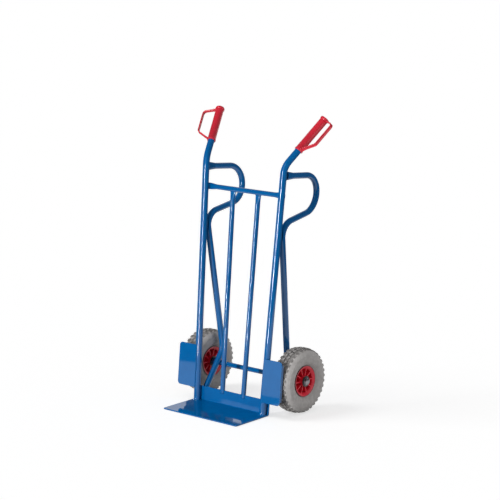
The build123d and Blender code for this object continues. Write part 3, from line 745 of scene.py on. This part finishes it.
def weldTree():
    # paths of edges become rows of beads, each a little different in size
    tree, given = geometryGroup("weldBeads", {
        "Paths": "Geometry", "Bead Radius": "Float", "Step": "Float", "Unevenness": "Float", "Seed": "Int",
        "Paint": "Material"}, "Beads")
    curves = addNode(tree, "GeometryNodeMeshToCurve", inputs={0: given["Paths"]})
    points = addNode(tree, "GeometryNodeResampleCurve", {"mode": "LENGTH"}, {
        "Curve": curves.outputs[0], "Length": given["Step"]})
    tangent = addNode(tree, "GeometryNodeInputTangent")
    facing = addNode(tree, "FunctionNodeAlignRotationToVector", {"axis": "Z"}, {"Vector": tangent.outputs[0]})
    bead = addNode(tree, "GeometryNodeMeshIcoSphere", inputs={
        "Radius": given["Bead Radius"], "Subdivisions": 2})
    size = addNode(tree, "FunctionNodeRandomValue", {"data_type": "FLOAT"}, {
        2: calculated(tree, "SUBTRACT", 1.0, given["Unevenness"]), 3: 1.0, "Seed": given["Seed"]})
    row = addNode(tree, "GeometryNodeInstanceOnPoints", inputs={
        "Points": points.outputs[0], "Instance": bead.outputs[0], "Rotation": facing.outputs[0],
        "Scale": size.outputs[1]})
    real = addNode(tree, "GeometryNodeRealizeInstances", inputs={0: row.outputs[0]})
    smooth = addNode(tree, "GeometryNodeSetShadeSmooth", inputs={0: real.outputs[0]})
    painted = addNode(tree, "GeometryNodeSetMaterial", inputs={
        0: smooth.outputs[0], "Material": given["Paint"]})
    addNode(tree, "NodeGroupOutput", inputs={0: painted.outputs[0]})
    return tree


def ringPath(place, count, first=0, last=360):
    # points of a seam that runs round, from one angle to another
    turns = [math.radians(first + (last - first) * k / count) for k in range(count + 1)]
    return [place(math.cos(t), math.sin(t)) for t in turns]


def linePath(x, behind, start, end):
    return [framePoint(x, behind, start), framePoint(x, behind, end)]


def footSeams(side):
    # the rail's foot on the blade, the rail along the flange, and the inner bar's foot on the flange
    gap, reach = seam["footGap"], truck["railRadius"] + seam["footGap"]
    paths = [ringPath(
        lambda c, s: Vector((side * railAt(0) + reach * c, reach * s + gap, truck["bladeTop"])) * mm,
        seam["footSteps"], *seam["footArc"])]
    front, top = truck["flangeFront"], truck["flangeHeight"]
    for edge in (-seam["flangeEdge"], seam["flangeEdge"]):
        paths.append([
            framePoint(side * railAt(along) + edge, front - seam["flangeInset"], along)
            for along in (seam["flangeLow"], top - seam["flangeTopGap"])])
    low, half = top - seam["barLap"], seam["barHalf"]
    corners = ((-half, top), (-half, low), (half, low), (half, top))
    paths.append([framePoint(side * barAt(low) + x, front, along) for x, along in corners])
    return paths


def crossbarSeams(side):
    # the crossbar's flat end on the rail, and the inner bar's flat end under the crossbar
    along, half = alongAt(truck["crossbarHeight"]), seam["crossbarHalf"]
    paths = []
    for x, behind in seam["crossbarEdges"]:
        paths.append(linePath(side * (railAt(along) + x), behind, along - half, along + half))
    wide, thick = seam["barEndSize"]
    paths.append(ringPath(lambda c, s: framePoint(
        side * barAt(along) + wide * c, truck["barSetback"] + thick * s,
        along - math.sqrt(truck["barRadius"] ** 2 - (thick * s) ** 2)), seam["barEndSteps"]))
    return paths


def braceSeams(side):
    # the brace's upper end and neck on the rail, and its leg on the flange's back and on the axle
    radius = truck["railRadius"]
    stub, half, tall = seam["stubAlong"], seam["stubHalf"], seam["stubTall"]
    paths = [ringPath(lambda c, s: framePoint(
        side * railAt(stub) + half * c, math.sqrt(radius ** 2 - (half * c) ** 2), stub + tall * s),
        seam["stubSteps"])]
    neck, neckHalf = seam["neckAlong"], seam["neckHalf"]
    for edge in (-seam["neckEdge"], seam["neckEdge"]):
        paths.append(linePath(
            side * railAt(neck) + edge, radius - seam["neckInset"], neck - neckHalf, neck + neckHalf))
    legX = side * seam["legSpread"]
    ring = ringPath(lambda c, s: framePoint(
        legX + seam["legHalf"] * c, truck["flangeBack"], seam["legAlong"] + seam["legTall"] * s),
        seam["legSteps"], *seam["legArc"])
    paths.append([p for p in ring if p.z > seam["legLow"] * mm])
    low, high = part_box("axle")
    axle = (low + high) / 2
    towards = framePoint(0, *seam["legNormal"]) / mm
    alongside = towards.cross(Vector((1, 0, 0)))
    touch = Vector((legX * mm, axle.y, axle.z)) + towards * seam["axleRadius"] * mm
    reach = seam["axleRing"] * mm
    paths.append(ringPath(
        lambda c, s: touch + Vector((c, 0, 0)) * reach + alongside * s * reach, seam["axleSteps"]))
    return paths


def guardSeams(side):
    # short runs where the wheel guard lies on the rail
    x = side * (railAt(seam["guardMiddle"]) + seam["guardGap"])
    behind = -truck["railRadius"] - seam["guardStandOff"]
    return [linePath(x, behind, start, start + seam["guardLength"]) for start in seam["guardStarts"]]


def makeWelds(tree):
    points, edges = [], []
    for side in sides.values():
        for path in footSeams(side) + crossbarSeams(side) + braceSeams(side) + guardSeams(side):
            edges += [(len(points) + k, len(points) + k + 1) for k in range(len(path) - 1)]
            points += path
    mesh = bpy.data.meshes.new("weldSeams")
    mesh.from_pydata(points, edges, [])
    piece = newObject("weld_beads", mesh)
    modifier = piece.modifiers.new("beads", "NODES")
    modifier.node_group = tree
    setInputs(modifier, {
        "Bead Radius": weld["beadRadius"] * mm, "Step": weld["step"] * mm, "Unevenness": weld["unevenness"],
        "Seed": weld["seed"], "Paint": finishes["blue_powder_coat"]})
    piece.data = plainMesh(piece)
    finishPiece(piece, "frame", "blue_powder_coat")


makeWelds(weldTree())
print("seams welded")


# Floor, cards, lamps and world, in metres, degrees and watts; the floor's drop is in millimetres
studio = {
    "floorColour": "#d6d6d6", "floorGlow": 0.645, "floorSize": 160, "floorDrop": 0.5, "skyStrength": 0.32,
    "sunAzimuth": -48, "sunElevation": 48, "sunStrength": 0.88, "sunAngle": 26,
    "softBoxes": {
        "frontSoftBox": {"azimuth": 3, "distance": 3.2, "height": 0.75, "size": (0.16, 1.6), "power": 112},
        "sideFill": {"azimuth": 100, "distance": 3, "height": 1.2, "size": (2, 2), "power": 26},
        "backFill": {"azimuth": 175, "distance": 3, "height": 1.2, "size": (2, 2), "power": 18},
    },
    "cardColour": "#55585e", "cardRoughness": 0.9, "cardSteps": 16,
    "cards": {  # azimuths, then distance and height of the near or low edge and of the far or high edge
        "rightCard": ((20, 195), (1.3, 0.2), (1.3, 2.2)),
        "leftCard": ((-125, -12), (1.3, 0.1), (1.3, 2.2)),
        "topCard": ((-180, 180), (0.02, 2.2), (1.3, 2.2)),
        "lowCard": ((-125, -42), (1.3, 0.03), (1.3, 0.1)),
        "floorCard": ((-85, -10), (0.2, 0), (0.62, 0)),
    },
}


def seenDirectly(tree):
    # 1 where the camera, a reflection or a clear material looks, 0 for light that only bounces
    ray = addNode(tree, "ShaderNodeLightPath").outputs
    seen = calculated(tree, "MAXIMUM", ray["Is Camera Ray"], ray["Is Glossy Ray"])
    return calculated(tree, "MAXIMUM", seen, ray["Is Transmission Ray"])


def makeFloor():
    # pale paper, which shows white to the camera and in reflections and keeps a soft shadow
    material, tree, shader, _ = newMaterial("palePaper")
    shader.inputs["Base Color"].default_value = linearColour(studio["floorColour"])
    shader.inputs["Roughness"].default_value = 1
    shader.inputs["Specular IOR Level"].default_value = 0
    shader.inputs["Emission Color"].default_value = (1, 1, 1, 1)
    glow = calculated(tree, "MULTIPLY", seenDirectly(tree), studio["floorGlow"])
    tree.links.new(glow, shader.inputs["Emission Strength"])
    half = studio["floorSize"] / 2
    corners = [(-half, -half, 0), (half, -half, 0), (half, half, 0), (-half, half, 0)]
    mesh = bpy.data.meshes.new("floor")
    mesh.from_pydata(corners, [], [(0, 1, 2, 3)])
    floor = newObject("floor", mesh, material)
    floor.location.z = -studio["floorDrop"] * mm
    return floor


def makeCards():
    # dark cards round the object, seen in its gloss alone
    material, _, shader, _ = newMaterial("darkCard")
    shader.inputs["Base Color"].default_value = linearColour(studio["cardColour"])
    shader.inputs["Roughness"].default_value = studio["cardRoughness"]
    count = studio["cardSteps"]
    for name, ((first, last), near, far) in studio["cards"].items():
        ways = [directionAt(first + (last - first) * k / count) for k in range(count + 1)]
        points = [way * reach + Vector((0, 0, height)) for reach, height in (near, far) for way in ways]
        faces = [(k, k + 1, count + k + 2, count + k + 1) for k in range(count)]
        mesh = bpy.data.meshes.new(name)
        mesh.from_pydata(points, [], faces)
        card = newObject(name, mesh, material)
        card.visible_camera = False
        card.visible_diffuse = False
        card.visible_shadow = False
        card.visible_transmission = False


def makeWorld():
    # white where it is seen, and a plain level of light where it shines on things
    scene.world = bpy.data.worlds.new("studioWorld")
    scene.world.use_nodes = True
    tree = scene.world.node_tree
    backdrop = tree.nodes["Background"]
    backdrop.inputs["Color"].default_value = (1, 1, 1, 1)
    strength = rescaled(tree, seenDirectly(tree), 0, 1, studio["skyStrength"], 1)
    tree.links.new(strength, backdrop.inputs["Strength"])


def makeLights(floor):
    # the soft boxes leave out the floor, so that it stays even out to the horizon
    leftOut = bpy.data.collections.new("floorLeftOut")
    leftOut.objects.link(floor)
    leftOut.collection_objects[0].light_linking.link_state = "EXCLUDE"
    sun = bpy.data.objects.new("overheadSoftLight", bpy.data.lights.new("overheadSoftLight", "SUN"))
    scene.collection.objects.link(sun)
    sun.data.energy = studio["sunStrength"]
    sun.data.angle = math.radians(studio["sunAngle"])
    sun.visible_glossy = False
    towardsSun = directionAt(studio["sunAzimuth"], studio["sunElevation"])
    sun.rotation_euler = towardsSun.to_track_quat("Z", "Y").to_euler()
    for name, values in studio["softBoxes"].items():
        box = bpy.data.objects.new(name, bpy.data.lights.new(name, "AREA"))
        scene.collection.objects.link(box)
        box.data.shape = "RECTANGLE"
        box.data.size, box.data.size_y = values["size"]
        box.data.energy = values["power"]
        box.light_linking.receiver_collection = leftOut
        outwards = directionAt(values["azimuth"])
        box.location = outwards * values["distance"] + Vector((0, 0, values["height"]))
        box.rotation_euler = outwards.to_track_quat("Z", "Y").to_euler()


floor = makeFloor()
makeCards()
makeWorld()
makeLights(floor)
scene.view_settings.view_transform = "Standard"
print("studio set")
